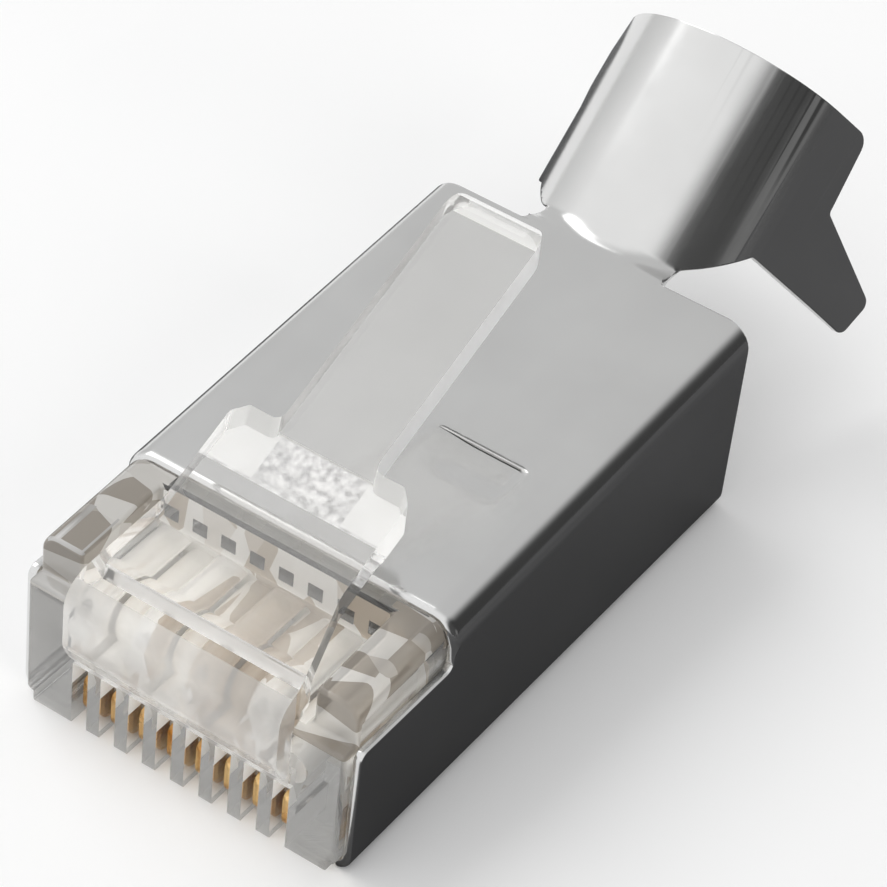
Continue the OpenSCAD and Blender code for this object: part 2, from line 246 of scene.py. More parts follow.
def along_lever(distance, height):
    """A point of the lever's side view, from its bending line."""
    c, s = math.cos(latch_angle), math.sin(latch_angle)
    return hinge_y + distance * c - height * s, hinge_z + distance * s + height * c


def latch_top(y):
    """Height of the latch's upper face behind the front face."""
    return latch_h + y * math.tan(latch_angle)


print("the latch bends at", round(hinge_y, 2), round(hinge_z, 3))

# %% The latch: a side view trimmed by its plan
reach = (lever_y - hinge_y) / math.cos(latch_angle)
heel = (shoulder_y - hinge_y) / math.cos(latch_angle)
half_t = latch_t / 2
drop = latch_t / math.cos(latch_angle)
latch_side = rounded([
    (-root_out * 0.4, root_h, 0.25), (-root_out, root_h + 0.8, 0.6), (-root_out, latch_top(-root_out), 0.9),
    (*along_lever(reach, half_t), 0.26), (*along_lever(reach, -half_t), 0.25),
    (*along_lever(heel, -half_t), 0), (*along_lever(heel, -half_t - shoulder_t), 0.07),
    (*along_lever(heel - 1.6, -half_t - shoulder_t), 0.3), (*along_lever(heel - 2.2, -half_t), 0.3),
    (root_in, latch_top(root_in) - drop, 0.4), (root_in, root_h, 0)], 8)
plan_half = [(root_w / 2, -2, 0), (root_w / 2, 0.2, 1.2), (shoulder_w / 2, 2.9, 1.5),
             (shoulder_w / 2, shoulder_y - 0.4, 0.15), (shoulder_w / 2 - 0.4, shoulder_y, 0.15),
             (lever_w / 2, shoulder_y, 0.3), (lever_w / 2, lever_y, 0.8)]
latch_plan = rounded(plan_half + [(-x, y, r) for x, y, r in reversed(plan_half)], 8)
latch = push_across("latch solid", latch_side, root_w + 2)
combine(latch, [push_up("latch plan", latch_plan, 0, 20)], "INTERSECT")
soften(latch, 0.12, 3, 40)
print("latch faces:", len(latch.data.polygons))

# %% The body: nose and rear, with the ledge and the space under the latch
rear_end = plug_l - 0.3
body = loft("body solid", [section(y, skin, skin, skin) for y in (roof_y - 0.5, rear_end)])
nose = loft("nose solid", [section(y, skin, 0, skin) for y in (0, roof_y - 0.03)])
combine(nose, [block("ledge", -7, 7, -1, ledge_d, ledge_h, 9),
               block("valley", -root_w / 2 - 0.3, root_w / 2 + 0.3, -1, 4.15, ledge_h, 9)], "DIFFERENCE")
soften(nose, 0.14, 3, 40)
lip = low_r + 0.03
base = block("base", lip - plug_w / 2, plug_w / 2 - lip, 0.0, 8.57, 0, 1)
soften(base, 0.06, 2, 40)
combine(body, [nose, base, latch], "UNION")
print("body faces:", len(body.data.polygons))

# %% Slots, wire channels, the load bar's pocket and the cable's cavity
pitch = 1.02
contact_y, contact_l = 0.4, 3.9
wire_d, wire_low, wire_high = 1.1, 2.8, 3.75
bar_y, bar_l, bar_w = 4.6, 5.4, 8.6


def circle(x, z, r, steps=28):
    """Points of a circle in the front view."""
    return [(x + r * math.cos(2 * math.pi * k / steps), z + r * math.sin(2 * math.pi * k / steps))
            for k in range(steps)]


cuts = []
for i in range(8):
    x = (i - 3.5) * pitch
    wire_z = wire_high if i % 2 == 0 else wire_low
    cuts.append(push_across("slot", [(-1, -1), (-1, 2.4), (0.4, 2.4), (0.95, 1.7), (0.95, 1), (4.6, 1),
                                     (4.6, -1)], 0.56, x))
    cuts.append(block("blade slot", x - 0.19, x + 0.19, contact_y - 0.05, contact_y + contact_l + 0.05,
                      -1, wire_z))
    cuts.append(push_back("wire channel", circle(x, wire_z, wire_d / 2), 0.9, bar_y + 0.5))
bar_low, bar_top = wire_low - wire_d / 2 - 0.4, wire_high + wire_d / 2 + 0.4
pocket = rounded([(bar_w / 2 + 0.05, bar_low, 0.3), (bar_w / 2 + 0.05, bar_top, 0.5),
                  (-bar_w / 2 - 0.05, bar_top, 0.5), (-bar_w / 2 - 0.05, bar_low, 0.3)], 4)
cuts.append(push_back("pocket", pocket, bar_y - 0.05, bar_y + bar_l + 0.5))
inset = skin + 0.75
cuts.append(loft("cavity", [section(y, inset, inset, inset) for y in (bar_y + bar_l, rear_end + 1)]))
cuts.append(block("room for the tongue", 0.7, 4.3, 8.9, 11.1, 6.0, 8.0))
combine(body, cuts, "DIFFERENCE")
window_w, window_low, window_high = 0.26, 5.0, 5.5
split = bmesh.new()
split.from_mesh(body.data)


def split_faces(chosen, place_mm, direction):
    """Divides the chosen faces along a plane, so that each side can have a finish of its own."""
    geometry = {v for f in chosen for v in f.verts} | {e for f in chosen for e in f.edges}
    bmesh.ops.bisect_plane(split, geom=list(geometry) + chosen, dist=1e-7,
                           plane_co=Vector(place_mm) * MM, plane_no=direction)


def lever_faces():
    return [f for f in split.faces if f.calc_center_median().y > 5.1 * MM
            and f.calc_center_median().z > roof_at(5.5) * MM]


def front_faces():
    return [f for f in split.faces if f.normal.y < -0.9 and abs(f.calc_center_median().y) < 0.05 * MM]


split.normal_update()
for x in (-1.55, 1.55):
    split_faces(lever_faces(), (x, 0, 0), (1, 0, 0))
split_faces(lever_faces(), (0, *along_lever(reach - 0.55, 0)), (0, math.cos(latch_angle), math.sin(latch_angle)))
split_faces(front_faces(), (0, 0, 2.42), (0, 0, 1))
for x in (-3.78, 3.78):
    split_faces(front_faces(), (x, 0, 0), (1, 0, 0))
nose_top = [f for f in split.faces if f.normal.z > 0.9 and f.calc_center_median().z > 5.5 * MM
            and 0 < f.calc_center_median().y < 4.8 * MM]
for x in (-3.9, 3.9):
    split_faces([f for f in nose_top if f.is_valid], (x, 0, 0), (1, 0, 0))
for f in nose_top:
    if f.is_valid and f.calc_center_median().x < 0:
        split_faces([f], (0, 2.3, 0), (0, 1, 0))
slot_walls = [f for f in split.faces if abs(f.normal.x) > 0.9 and f.calc_center_median().y < 3.0 * MM
              and abs(f.calc_center_median().x) < 4 * MM and f.calc_center_median().z < 2.2 * MM]
split_faces(slot_walls, (0, 0, 1.6), (0, 0, 1))


def valley_wall():
    return [f for f in split.faces if f.normal.y < -0.9 and abs(f.calc_center_median().y - 4.15 * MM) < 0.05 * MM
            and f.calc_center_median().z > 4.7 * MM]


for i in range(8):
    for side in (-window_w, window_w):
        split_faces(valley_wall(), ((i - 3.5) * pitch + side, 0, 0), (1, 0, 0))
for z in (window_low, window_high):
    split_faces(valley_wall(), (0, 0, z), (0, 0, 1))
print("valley wall faces:", len(valley_wall()))
split.to_mesh(body.data)
split.free()
body.name = "clear_moulding"
print("moulding faces:", len(body.data.polygons))

# %% [markdown]
# ## The shield
# The metal jacket is one stamped blank: a flat outline that is folded round the body and bent up at
# the back into the crimp barrel. The lesson does the same. The blank is drawn flat, sliced into
# strips where it has to bend, and then every point is moved to where folding takes it. Thickness
# and the small rounding that stamping leaves come from modifiers.

# %% The blank's flat sizes
neck_w, neck_l, neck_r = 5.0, 0.15, 0.8
barrel_pitch = math.radians(39)
barrel_r, barrel_l = 4.22, 6.6
barrel_half = math.radians(66)
round_u = barrel_r * barrel_half
bend_l = neck_r * (barrel_pitch - slope)
crown_v = neck_l + bend_l + 0.68
side_y, floor_y, seam = 0.35, 8.6, 0.06
roof_u = plug_w / 2 - top_r
wall_u = roof_u + top_r * math.pi / 2
wall_l = 4.65
low_u = wall_u + wall_l
floor_u = low_u + low_r * math.pi / 2
seam_u = floor_u + plug_w / 2 - low_r - seam


def height_u(y, z):
    """Flat distance from the middle to height z on a side wall."""
    high = roof_at(y) - top_r
    return wall_u + wall_l * (high - z) / (high - low_r)


crown_s = -0.45


def rim_v(u, drop, end):
    """Flat place of the barrel's front rim: level at the crown, then running back past a drop."""
    fall = barrel_r * (1 - math.cos(u / barrel_r))
    share = (fall - drop) / (barrel_r * (1 - math.cos(barrel_half)) - 0.15 - drop)
    return plug_l + crown_v + crown_s + (end - crown_s) * max(0.0, min(1.0, share))


print("half width of the blank in mm:", round(seam_u, 2))

# %% The blank's outline
def half_outline(wing, drop, end):
    """One half of the outline (u, v, radius), from the roof's front edge to the end of a wing."""
    body_edge = [(height_u(roof_y, ledge_h), roof_y, 0.25), (height_u(side_y, ledge_h), side_y, 0.3),
                 (floor_u, side_y, 0.15), (floor_u, floor_y, 0.2), (seam_u, floor_y, 0.25),
                 (seam_u, plug_l, 0.25), (neck_w / 2, plug_l, 0.2)]
    bend_v = plug_l + neck_l + bend_l
    neck_edge = [(neck_w / 2, bend_v, 0.3), (neck_w / 2 + 0.17, bend_v + 0.23, 0.1)]
    steps = [2.8 + (round_u - 2.8) * k / 12 for k in range(13)]
    rim_edge = [(u, rim_v(u, drop, end), 0) for u in steps]
    return body_edge + neck_edge + rim_edge + [(round_u + q, plug_l + crown_v + s, r) for q, s, r in wing]


right_wing = [(5.2, 1.1, 0.35), (5.6, 2.5, 0.35), (1.9, 3.9, 0.15), (1.7, barrel_l, 0.5)]
left_wing = [(2.3, 0.75, 0.5), (2.5, 3.6, 0.15), (5.6, 5.0, 0.35), (5.2, 6.4, 0.35), (0, barrel_l, 0)]
left_half = half_outline(left_wing, 1.05, 0.75)
blank = half_outline(right_wing, 0.8, 1.2) + [(-u, v, r) for u, v, r in reversed(left_half)]
blank_points = rounded(blank)
print("outline points:", len(blank_points))

# %% Slice the blank where it bends
def slice_at(bm, place, direction):
    """Cuts every face along one line of the blank."""
    bmesh.ops.bisect_plane(bm, geom=bm.verts[:] + bm.edges[:] + bm.faces[:], dist=1e-5,
                           plane_co=place, plane_no=direction)


slit_left, slit_right, slit_y, slit_w = 0.8, 3.7, 11.05, 0.02
bm = bmesh.new()
bm.faces.new([bm.verts.new((p[0], p[1], 0)) for p in blank_points])
fold_lines = [roof_u + (wall_u - roof_u) * k / 8 for k in range(9)]
fold_lines += [low_u + (floor_u - low_u) * k / 6 for k in range(7)]
fold_lines = [side * u for u in fold_lines for side in (-1, 1)]
fold_lines += [round_u * k / 16 for k in range(-16, 17)]
fold_lines += [slit_left + 0.145 * k for k in range(24)]
for u in fold_lines:
    slice_at(bm, (u, 0, 0), (1, 0, 0))
across_lines = [plug_l + 0.075 * k for k in range(0, 28)] + [roof_y + 0.36]
across_lines += [8.9 + 0.15 * k for k in range(14)] + [slit_y - slit_w, slit_y, 11.12, 11.25, 19.9, 20.2, 20.34]
for v in across_lines:
    slice_at(bm, (0, v, 0), (0, 1, 0))
slit_faces = []
for face in bm.faces:
    u, v = face.calc_center_median()[:2]
    if slit_left < u < slit_right and slit_y - slit_w < v < slit_y:
        slit_faces.append(face)
bmesh.ops.delete(bm, geom=slit_faces, context="FACES")
bmesh.ops.remove_doubles(bm, verts=bm.verts, dist=0.01)
print("blank faces:", len(bm.faces), "after cutting", len(slit_faces), "slit faces")

# %% Fold the blank
def ease(t):
    """A smooth step from 0 to 1."""
    t = max(0.0, min(1.0, t))
    return t * t * (3 - 2 * t)


def fold_body(u, y):
    """Where folding round the body takes a point of the blank."""
    side, a, top = math.copysign(1, u), abs(u), roof_at(y)
    if a <= roof_u:
        return Vector((u, y, top))
    if a <= wall_u:
        t = (a - roof_u) / top_r
        return Vector((side * (roof_u + top_r * math.sin(t)), y, top - top_r * (1 - math.cos(t))))
    if a <= low_u:
        high = top - top_r
        return Vector((side * plug_w / 2, y, high + (low_r - high) * (a - wall_u) / wall_l))
    if a <= floor_u:
        t = (a - low_u) / low_r
        return Vector((side * (plug_w / 2 - low_r * (1 - math.cos(t))), y, low_r * (1 - math.sin(t))))
    return Vector((side * (plug_w / 2 - low_r - (a - floor_u)), y, 0))


def neck_path(s):
    """Place and pitch of the sheet's middle line after a length of neck."""
    t = s - neck_l
    if t < 0:
        return plug_l + s * math.cos(slope), rear_h + s * math.sin(slope), slope
    pitch_now = slope + min(t, bend_l) / neck_r
    y = plug_l + neck_l * math.cos(slope) + neck_r * (math.sin(pitch_now) - math.sin(slope))
    z = rear_h + neck_l * math.sin(slope) + neck_r * (math.cos(slope) - math.cos(pitch_now))
    rest = max(0.0, t - bend_l)
    return y + rest * math.cos(pitch_now), z + rest * math.sin(pitch_now), pitch_now


def fold_tail(u, s):
    """Where bending the neck and rolling the barrel takes a point of the blank."""
    y, z, pitch_now = neck_path(s)
    curl = 0.001 + ease((s - neck_l) / (crown_v + crown_s - neck_l)) * (1 / barrel_r - 0.001)
    side, a = math.copysign(1, u), abs(u)
    bent = min(a, barrel_half / curl)
    x = math.sin(bent * curl) / curl
    fall = (1 - math.cos(bent * curl)) / curl
    x += (a - bent) * math.cos(bent * curl)
    fall += (a - bent) * math.sin(bent * curl)
    return Vector((side * x, y + fall * math.sin(pitch_now), z - fall * math.cos(pitch_now)))


def press_tongue(u, y):
    """How deep the roof is pressed in front of its slit."""
    if y > slit_y - slit_w / 2:
        return 0.0
    across = ease((u - slit_left + 0.1) / 1.5) * (1 - ease((u - 3.6) / 0.35))
    return 0.1 * across * ease((y - 9.1) / 1.2)


for vert in bm.verts:
    u, v = vert.co[:2]
    if v <= plug_l:
        place = fold_body(u, v)
        place.z -= press_tongue(u, v)
    else:
        place = fold_tail(u, v - plug_l)
    vert.co = place
shield = new_piece("folded_shield", bm)
print("highest point of the barrel in mm:", round(max(v.co.z for v in shield.data.vertices) / MM, 2))

# %% Give the sheet its thickness and its stamped edges
normal_up = sum(p.normal.z * p.area for p in shield.data.polygons if p.center.z > 0.005)
thick = shield.modifiers.new("thickness", "SOLIDIFY")
thick.thickness = sheet * MM
thick.offset = -1 if normal_up > 0 else 1
thick.use_even_offset = True
thick.material_offset_rim = 1
settle(shield)
rolled = bmesh.new()
rolled.from_mesh(shield.data)
front_edges = [e for e in rolled.edges if all(abs(v.co.y - roof_y * MM) < 5e-6 and v.co.z > 4.8 * MM for v in e.verts)
               and all(v.co.z > (roof_at(roof_y) - 0.05) * MM or abs(v.co.x) > (plug_w / 2 - top_r) * MM
                       for v in e.verts)]
outer_edges = [e for e in front_edges if any(f.normal.y > -0.5 and
                                             f.normal.dot(f.calc_center_median() - Vector((0, roof_y, 3)) * MM) > 0
                                             for f in e.link_faces)]
# The rolled front edge takes the lighter metal of the cut edges, part of a painted highlight line.
bmesh.ops.bevel(rolled, geom=outer_edges, offset=0.26 * MM, offset_type="OFFSET", segments=4, profile=0.5,
                affect="EDGES", material=1)
rolled.normal_update()
# The roof's flat band behind it takes the same lighter metal: a painted highlight line.
for face in rolled.faces:
    x, y, z = face.calc_center_median() / MM
    if roof_y < y < roof_y + 0.35 and z > ledge_h + 0.5 and face.normal.z + abs(face.normal.x) > 0.3:
        face.material_index = 1
stamped, slit_rim = [], []
for edge in rolled.edges:
    x, y, z = (edge.verts[0].co + edge.verts[1].co) / 2 / MM
    if len(edge.link_faces) != 2 or edge.calc_face_angle() < math.radians(50):
        continue
    if abs(y - slit_y) > 0.2 or not slit_left - 0.2 < x < slit_right + 0.2 or z < 5:
        stamped.append(edge)
    elif y > slit_y - 0.004 and z > roof_at(y) - 0.05 and abs(edge.verts[0].co.y - edge.verts[1].co.y) < 1e-6:
        slit_rim.append(edge)
bmesh.ops.bevel(rolled, geom=slit_rim, offset=0.12 * MM, offset_type="OFFSET", segments=2, profile=0.5,
                affect="EDGES", clamp_overlap=False, material=1)
stamped = [edge for edge in stamped if edge.is_valid]
bmesh.ops.bevel(rolled, geom=stamped, offset=0.05 * MM, offset_type="OFFSET", segments=2, profile=0.5,
                affect="EDGES", clamp_overlap=False, material=-1)
rolled.to_mesh(shield.data)
rolled.free()
print("rolled edges:", len(outer_edges), "stamped edges:", len(stamped))
shade(shield, 40)
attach(shield, "plug")
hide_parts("shield")
print("shield faces:", len(shield.data.polygons))

# %% [markdown]
# ## Finishes
# Nickel plate is a metal with a soft gloss: nearly a mirror, blurred a little by the rolled sheet.
# Clear polycarbonate bends light strongly, so it is glass to the shader, with a faint warm tint that
# shows where the plastic is thick. Gold is a metal with its own colour, spread here from dark to cream
# as painted shade and highlight. Each finish gets the small unevenness that the real surface has,
# from noise in its roughness and its bump. Several plastic finishes also carry painted highlights,
# painted shade and painted reflections in their colour.

# %% Nickel plate
def new_finish(name):
    """A material with an empty node tree but for its shader and output."""
    finish = bpy.data.materials.new(name)
    finish.use_nodes = True
    nodes = finish.node_tree.nodes
    return finish, nodes, finish.node_tree.links, nodes["Principled BSDF"]


def noise(nodes, links, scale, detail=3.0, stretch=(1, 1, 1)):
    """Noise over the object's own coordinates, in metres, stretched by a factor on each axis."""
    place = nodes.new("ShaderNodeTexCoord")
    mapping = nodes.new("ShaderNodeMapping")
    mapping.inputs["Scale"].default_value = stretch
    texture = nodes.new("ShaderNodeTexNoise")
    texture.inputs["Scale"].default_value = scale
    texture.inputs["Detail"].default_value = detail
    links.new(place.outputs["Object"], mapping.inputs["Vector"])
    links.new(mapping.outputs["Vector"], texture.inputs["Vector"])
    return texture.outputs["Fac"]


def spread(nodes, links, value, low, high):
    """Maps noise from 0.3 to 0.7 on to a range."""
    ranged = nodes.new("ShaderNodeMapRange")
    ranged.inputs["From Min"].default_value = 0.3
    ranged.inputs["From Max"].default_value = 0.7
    ranged.inputs["To Min"].default_value = low
    ranged.inputs["To Max"].default_value = high
    links.new(value, ranged.inputs["Value"])
    return ranged.outputs["Result"]


def facets(nodes, links, scale, stretch=(1, 1, 1)):
    """A value that jumps from facet to facet, over the object's own coordinates in metres."""
    place = nodes.new("ShaderNodeTexCoord")
    mapping = nodes.new("ShaderNodeMapping")
    mapping.inputs["Scale"].default_value = stretch
    texture = nodes.new("ShaderNodeTexVoronoi")
    texture.inputs["Scale"].default_value = scale
    parts = nodes.new("ShaderNodeSeparateColor")
    links.new(place.outputs["Object"], mapping.inputs["Vector"])
    links.new(mapping.outputs["Vector"], texture.inputs["Vector"])
    links.new(texture.outputs["Color"], parts.inputs["Color"])
    return parts.outputs["Red"]


def add_bump(nodes, links, shader, height, distance, strength=1.0):
    """Bump from a height value; the distance is in metres."""
    bump = nodes.new("ShaderNodeBump")
    bump.inputs["Distance"].default_value = distance
    bump.inputs["Strength"].default_value = strength
    links.new(height, bump.inputs["Height"])
    links.new(bump.outputs["Normal"], shader.inputs["Normal"])


def blend_colours(nodes, links, value, low, high):
    """A colour between two, chosen by a value."""
    ramp = nodes.new("ShaderNodeValToRGB")
    ramp.color_ramp.elements[0].position = 0.3
    ramp.color_ramp.elements[0].color = (*low, 1)
    ramp.color_ramp.elements[1].position = 0.7
    ramp.color_ramp.elements[1].color = (*high, 1)
    links.new(value, ramp.inputs["Fac"])
    return ramp.outputs["Color"]


nickel, nodes, links, shader = new_finish("nickel_plate")
shader.inputs["Metallic"].default_value = 1.0
patches = noise(nodes, links, 260, 4)
links.new(blend_colours(nodes, links, patches, (0.70, 0.70, 0.695), (0.75, 0.75, 0.745)),
          shader.inputs["Base Color"])
links.new(spread(nodes, links, noise(nodes, links, 900, 5, (1, 0.15, 1)), 0.14, 0.22),
          shader.inputs["Roughness"])
add_bump(nodes, links, shader, noise(nodes, links, 2500, 3, (1, 0.1, 1)), 0.000002, 0.5)
print("nickel nodes:", len(nodes))

# %% Sheared edges of the sheet, in a lighter metal that also paints a highlight line on the roof's front
sheared_and_highlight_metal, nodes, links, shader = new_finish("sheared_edge_and_painted_highlight")
shader.inputs["Metallic"].default_value = 1.0
# Near white, lighter than the nickel: rough cut edges plus a painted highlight.
links.new(blend_colours(nodes, links, noise(nodes, links, 2000, 3), (0.95, 0.945, 0.935), (0.99, 0.985, 0.975)),
          shader.inputs["Base Color"])
links.new(spread(nodes, links, noise(nodes, links, 6000, 3), 0.5, 0.62), shader.inputs["Roughness"])
shield.data.materials.clear()
shield.data.materials.append(nickel)
shield.data.materials.append(sheared_and_highlight_metal)
print("sheared nodes:", len(nodes))

# %% Clear polycarbonate
def pass_light(finish, nodes, links, shader, tint):
    """Lets lamp light through a clear finish, a little tinted, where glass would keep it out."""
    path = nodes.new("ShaderNodeLightPath")
    open_way = nodes.new("ShaderNodeBsdfTransparent")
    open_way.inputs["Color"].default_value = (*tint, 1)
    mix = nodes.new("ShaderNodeMixShader")
    links.new(path.outputs["Is Shadow Ray"], mix.inputs["Fac"])
    links.new(shader.outputs["BSDF"], mix.inputs[1])
    links.new(open_way.outputs["BSDF"], mix.inputs[2])
    links.new(mix.outputs["Shader"], nodes["Material Output"].inputs["Surface"])


polished, nodes, links, shader = new_finish("polished_polycarbonate")
shader.inputs["Transmission Weight"].default_value = 0.96
shader.inputs["IOR"].default_value = 1.58
links.new(blend_colours(nodes, links, noise(nodes, links, 180, 2), (0.955, 0.95, 0.94), (0.985, 0.98, 0.97)),
          shader.inputs["Base Color"])
links.new(spread(nodes, links, noise(nodes, links, 1200, 3), 0.0, 0.02), shader.inputs["Roughness"])
add_bump(nodes, links, shader, noise(nodes, links, 250, 1), 0.00001, 0.15)
pass_light(polished, nodes, links, shader, (0.98, 0.975, 0.96))
print("polished nodes:", len(nodes))

# %% The same plastic where the mould is left a little dull, tinted grey as painted shade
clear, nodes, links, shader = new_finish("dull_and_painted_shade_polycarbonate")
shader.inputs["Transmission Weight"].default_value = 0.8
shader.inputs["IOR"].default_value = 1.58
# The grey base, darker than the plastic itself, is painted shade seen through the nose.
links.new(blend_colours(nodes, links, noise(nodes, links, 500, 2), (0.72, 0.715, 0.70), (0.86, 0.855, 0.84)),
          shader.inputs["Base Color"])
links.new(spread(nodes, links, noise(nodes, links, 1200, 3), 0.0, 0.03), shader.inputs["Roughness"])
add_bump(nodes, links, shader, noise(nodes, links, 300, 1), 0.00001, 0.2)
pass_light(clear, nodes, links, shader, (0.93, 0.92, 0.90))
print("clear nodes:", len(nodes))

# %% Polycarbonate with a light frosting, white as a painted highlight, for cut and ejected faces
frosted_and_painted_highlight, nodes, links, shader = new_finish("frosted_and_painted_highlight_polycarbonate")
shader.inputs["Transmission Weight"].default_value = 0.15
shader.inputs["IOR"].default_value = 1.4
# The near-white base is partly frosting and partly a painted highlight.
links.new(blend_colours(nodes, links, noise(nodes, links, 1500, 3), (0.96, 0.96, 0.95), (0.99, 0.99, 0.985)),
          shader.inputs["Base Color"])
links.new(spread(nodes, links, noise(nodes, links, 2500, 3), 0.3, 0.5), shader.inputs["Roughness"])
pass_light(frosted_and_painted_highlight, nodes, links, shader, (0.8, 0.8, 0.79))
print("frosted nodes:", len(nodes))

# %% More plastic finishes, and which faces carry painted highlights, shade and reflections
speckled, nodes, links, shader = new_finish("speckled_polycarbonate")
shader.inputs["IOR"].default_value = 1.45
spots = noise(nodes, links, 4200, 2)
links.new(spread(nodes, links, spots, -0.4, 1.0), shader.inputs["Transmission Weight"])
links.new(blend_colours(nodes, links, spots, (0.99, 0.99, 0.985), (0.75, 0.75, 0.75)), shader.inputs["Base Color"])
shader.inputs["Roughness"].default_value = 0.3
pass_light(speckled, nodes, links, shader, (0.85, 0.85, 0.84))
haze_and_painted_reflection, nodes, links, shader = new_finish("haze_and_painted_reflection_polycarbonate")
shader.inputs["Transmission Weight"].default_value = 0.6
shader.inputs["IOR"].default_value = 1.58
# Streaks from tan-grey to white: haze with a painted reflection seen through the plastic.
links.new(blend_colours(nodes, links, noise(nodes, links, 480, 1, (0.5, 1, 1.4)), (0.55, 0.535, 0.51),
                        (1.0, 0.995, 0.985)), shader.inputs["Base Color"])
links.new(spread(nodes, links, noise(nodes, links, 900, 3), 0.02, 0.12), shader.inputs["Roughness"])
pass_light(haze_and_painted_reflection, nodes, links, shader, (0.9, 0.89, 0.87))
channel, nodes, links, shader = new_finish("channel_painted_reflection")
shader.inputs["Transmission Weight"].default_value = 0.2
shader.inputs["IOR"].default_value = 1.5
# White and tan facets: painted reflection of light and gold seen through the channels.
share = spread(nodes, links, facets(nodes, links, 1250, (1, 0.28, 0.5)), -0.05, 0.75)
links.new(blend_colours(nodes, links, share, (1.0, 0.99, 0.97), (0.62, 0.545, 0.46)), shader.inputs["Base Color"])
shader.inputs["Roughness"].default_value = 0.2
pass_light(channel, nodes, links, shader, (0.96, 0.95, 0.93))
warm, nodes, links, shader = new_finish("warm_painted_reflection")
shader.inputs["Transmission Weight"].default_value = 0.5
shader.inputs["IOR"].default_value = 1.55
# Dark and light facets: painted reflection seen through the side blocks.
links.new(blend_colours(nodes, links, facets(nodes, links, 950, (0.4, 1.3, 1)), (0.40, 0.36, 0.31),
                        (0.84, 0.82, 0.785)), shader.inputs["Base Color"])
shader.inputs["Roughness"].default_value = 0.1
pass_light(warm, nodes, links, shader, (0.88, 0.86, 0.82))
body.data.materials.clear()
for finish in (polished, clear, frosted_and_painted_highlight, speckled, haze_and_painted_reflection, channel, warm):
    body.data.materials.append(finish)


def finish_of(face):
    """0 polished, 1 dull grey with painted shade, 2 frosting with painted highlight, 3 speckled, 4 haze with painted
    reflection, 5 and 6 facets of painted reflection: the finish of this face.
    """
    x, y, z = face.center / MM
    ax, ay, az = face.normal
    if y > 4.6 and z > roof_at(y) + 0.03:
        # Faces under the ears are white as a painted highlight; the pad between them is speckled.
        if 5.0 < y < 6.6 and (az < -0.5 or (ay > 0.6 and abs(x) > 1.55)):
            return 2 if abs(x) > 1.55 else 3
        along = (y - hinge_y) * math.cos(latch_angle) + (z - hinge_z) * math.sin(latch_angle)
        # The underside of the lever's tip is white: a painted highlight.
        if along > reach - 0.55 and az < -0.3:
            return 2
        # The lever's right side is white, a painted highlight, and its left side streaked, a painted reflection:
        # painted light by side.
        if y > shoulder_y - 0.2 and (abs(ax) > 0.3 or ay > -0.2) and az > -0.5:
            return 2 if ax > -0.3 else 4
        return 0
    # Around the wire channels the faces carry facets of painted reflection.
    if 0.85 < y < bar_y and wire_low - 0.6 < z < wire_high + 0.6 and abs(x) < 4.2:
        return 5
    # The upper walls of the slots are white: a painted highlight.
    if 0.0 < y < 1.0 and 1.6 < z < 2.45 and abs(x) < 4.0 and (az < -0.3 or abs(ax) > 0.9 or ay < -0.5):
        return 2
    if abs(ax) > 0.9 and y < 3 and 0.05 < z < 1.6 and abs(x) < 4.0:
        return 0
    # A strip of the front face under the hump is white: a painted highlight.
    if y < 0.05 and 2.42 < z < root_h and abs(x) < 3.78:
        return 2
    # On the wall behind the valley, the windows stay polished and the rest carries facets of painted reflection.
    if 4.05 < y < 4.25 and 4.72 < z < 5.95 and ay < -0.9:
        inside = abs((x / pitch) % 1 - 0.5) * pitch < window_w and window_low < z < window_high
        return 0 if inside else 5
    # The hump's front is white below, a painted highlight, and streaked above, a painted reflection.
    if y < 0.1 and z > root_h and abs(x) < 3.78:
        return 2 if z < 3.2 else 4
    # On the nose top, the left corner is streaked and the side blocks faceted: painted reflection.
    if z > 4.4:
        if x < -3.9 and y < 2.3 and az > 0.5:
            return 4
        return 0 if abs(x) < 3.9 else 6
    # Every other face is dull plastic, grey as painted shade.
    return 1


counts = [0, 0, 0, 0, 0, 0, 0]
for face in body.data.polygons:
    face.material_index = finish_of(face)
    counts[face.material_index] += 1
shade(body, 35)
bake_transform(body)
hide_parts("housing", "latch")
print("faces that are polished, dull, frosted, speckled and hazy:", counts)

# %% The wire guide, a little cloudy
cloudy, nodes, links, shader = new_finish("cloudy_polycarbonate")
shader.inputs["Transmission Weight"].default_value = 0.6
shader.inputs["IOR"].default_value = 1.55
links.new(blend_colours(nodes, links, noise(nodes, links, 300, 3), (0.93, 0.92, 0.89), (0.97, 0.965, 0.95)),
          shader.inputs["Base Color"])
links.new(spread(nodes, links, noise(nodes, links, 900, 3), 0.06, 0.2), shader.inputs["Roughness"])
pass_light(cloudy, nodes, links, shader, (0.85, 0.84, 0.81))
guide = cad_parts["load_bar"]
guide.data.materials.clear()
guide.data.materials.append(cloudy)
print("guide nodes:", len(nodes))

# %% Gold on the contacts
gold, nodes, links, shader = new_finish("gold_plate")
shader.inputs["Metallic"].default_value = 1.0
# Streaks from dark orange-brown to cream: the gold's own tone plus painted shade and highlight.
links.new(blend_colours(nodes, links, noise(nodes, links, 1500, 4, (1, 1, 0.5)), (0.55, 0.24, 0.05), (0.97, 0.70, 0.34)),
          shader.inputs["Base Color"])
links.new(spread(nodes, links, noise(nodes, links, 3000, 4), 0.16, 0.3), shader.inputs["Roughness"])
for i in range(1, 9):
    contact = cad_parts[f"contact_{i}"]
    contact.data.materials.clear()
    contact.data.materials.append(gold)
    rounding = contact.modifiers.new("rounded edges", "BEVEL")
    rounding.width = 0.04 * MM
    rounding.segments = 2
    rounding.limit_method = "ANGLE"
print("gold nodes:", len(nodes))

# %% [markdown]
# ## Floor and light
# The plug lies on plain white. Polished metal shows whatever stands around it, so the light is as
# much a picture for the metal as a lamp: bright sky to the left and above, darker to the right.

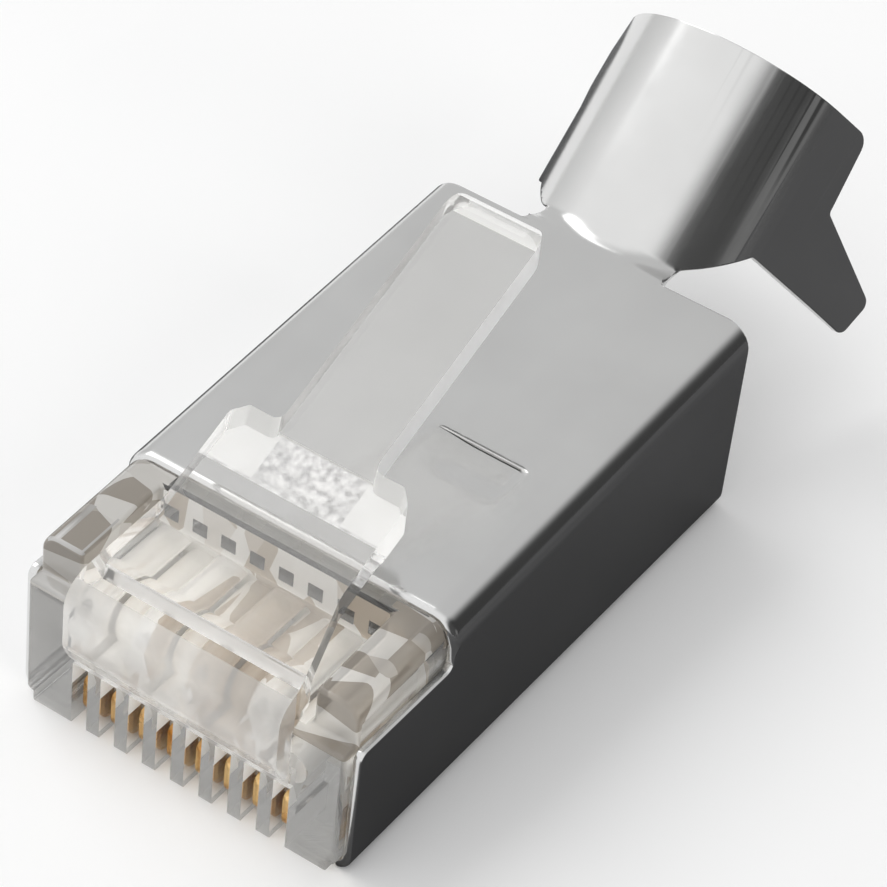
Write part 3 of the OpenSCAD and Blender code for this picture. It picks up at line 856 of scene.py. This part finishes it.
# %% Floor
floor_mesh = bmesh.new()
bmesh.ops.create_grid(floor_mesh, x_segments=1, y_segments=1, size=1500)
floor = new_piece("floor", floor_mesh)
paper, nodes, links, shader = new_finish("white_paper")
links.new(blend_colours(nodes, links, noise(nodes, links, 40, 2), (0.93, 0.93, 0.93), (0.95, 0.95, 0.95)),
          shader.inputs["Base Color"])
shader.inputs["Roughness"].default_value = 0.9
shader.inputs["Specular IOR Level"].default_value = 0.2
floor.data.materials.append(paper)
print("floor half size in m:", 1.5)

# %% Dark cards beside the plug, painted shade that only reflections see
black, nodes, links, shader = new_finish("black_card")
links.new(blend_colours(nodes, links, noise(nodes, links, 60, 2), (0.06, 0.06, 0.062), (0.09, 0.09, 0.092)),
          shader.inputs["Base Color"])
shader.inputs["Roughness"].default_value = 0.8


def dark_card(name, x0, x1, y0, y1):
    """A black card on the floor that only polished things see: painted shade in their reflections."""
    sheet_mesh = bmesh.new()
    corners = [(x0, y0), (x1, y0), (x1, y1), (x0, y1)]
    sheet_mesh.faces.new([sheet_mesh.verts.new((x, y, 0.02)) for x, y in corners])
    card = new_piece(name, sheet_mesh)
    card.data.materials.append(black)
    card.visible_camera = False
    card.visible_diffuse = False
    card.visible_shadow = False
    card.visible_transmission = False
    return card


dark_card("right_card", 5.0, 1400, -300, 1400)
dark_card("left_card", -24, -6.3, 6, 42)
print("cards:", 2)

# %% Sky
world = bpy.data.worlds.new("studio")
bpy.context.scene.world = world
world.use_nodes = True
nodes, links = world.node_tree.nodes, world.node_tree.links
place = nodes.new("ShaderNodeTexCoord")


def sky_fade(direction, start, stop, low, high):
    """A soft step of brightness along one direction of the sky."""
    along = nodes.new("ShaderNodeVectorMath")
    along.operation = "DOT_PRODUCT"
    along.inputs[1].default_value = Vector(direction).normalized()
    links.new(place.outputs["Generated"], along.inputs[0])
    fade = nodes.new("ShaderNodeMapRange")
    fade.interpolation_type = "SMOOTHSTEP"
    fade.inputs["From Min"].default_value = start
    fade.inputs["From Max"].default_value = stop
    fade.inputs["To Min"].default_value = low
    fade.inputs["To Max"].default_value = high
    links.new(along.outputs["Value"], fade.inputs["Value"])
    return fade.outputs["Result"]


product = nodes.new("ShaderNodeMath")
product.operation = "MULTIPLY_ADD"
links.new(sky_fade((1, 0, 0), 0.3, 0.68, 1.0, 0.08), product.inputs[0])
links.new(sky_fade((0, 1, 0), -0.35, 0.4, 1.0, 0.66), product.inputs[1])
links.new(sky_fade((0.98, 0.14, 0.16), 0.975, 0.997, 0.0, 0.14), product.inputs[2])
links.new(product.outputs["Value"], nodes["Background"].inputs["Color"])
print("sky nodes:", len(nodes))

# %% Lamp
def lamp(name, place_mm, target_mm, width_mm, height_mm, watts):
    """A soft rectangular lamp that points at a target."""
    light = bpy.data.lights.new(name, "AREA")
    light.shape = "RECTANGLE"
    light.size, light.size_y = width_mm * MM, height_mm * MM
    light.energy = watts
    holder = bpy.data.objects.new(name, light)
    holder.location = Vector(place_mm) * MM
    aim = (Vector(target_mm) - Vector(place_mm)).to_track_quat("-Z", "Y")
    holder.rotation_euler = aim.to_euler()
    bpy.context.scene.collection.objects.link(holder)
    return holder


lamp("key", (-320, 80, 380), (0, 12, 3), 300, 300, 0.38)
bounce = lamp("bounce", (-320, 80, 380), (0, 12, 3), 300, 300, 0.52)
bounce.visible_glossy = False
fill = lamp("fill", (420, -60, 260), (0, 12, 3), 300, 300, 0.65)
fill.visible_glossy = False
bpy.context.scene.view_settings.view_transform = "Standard"
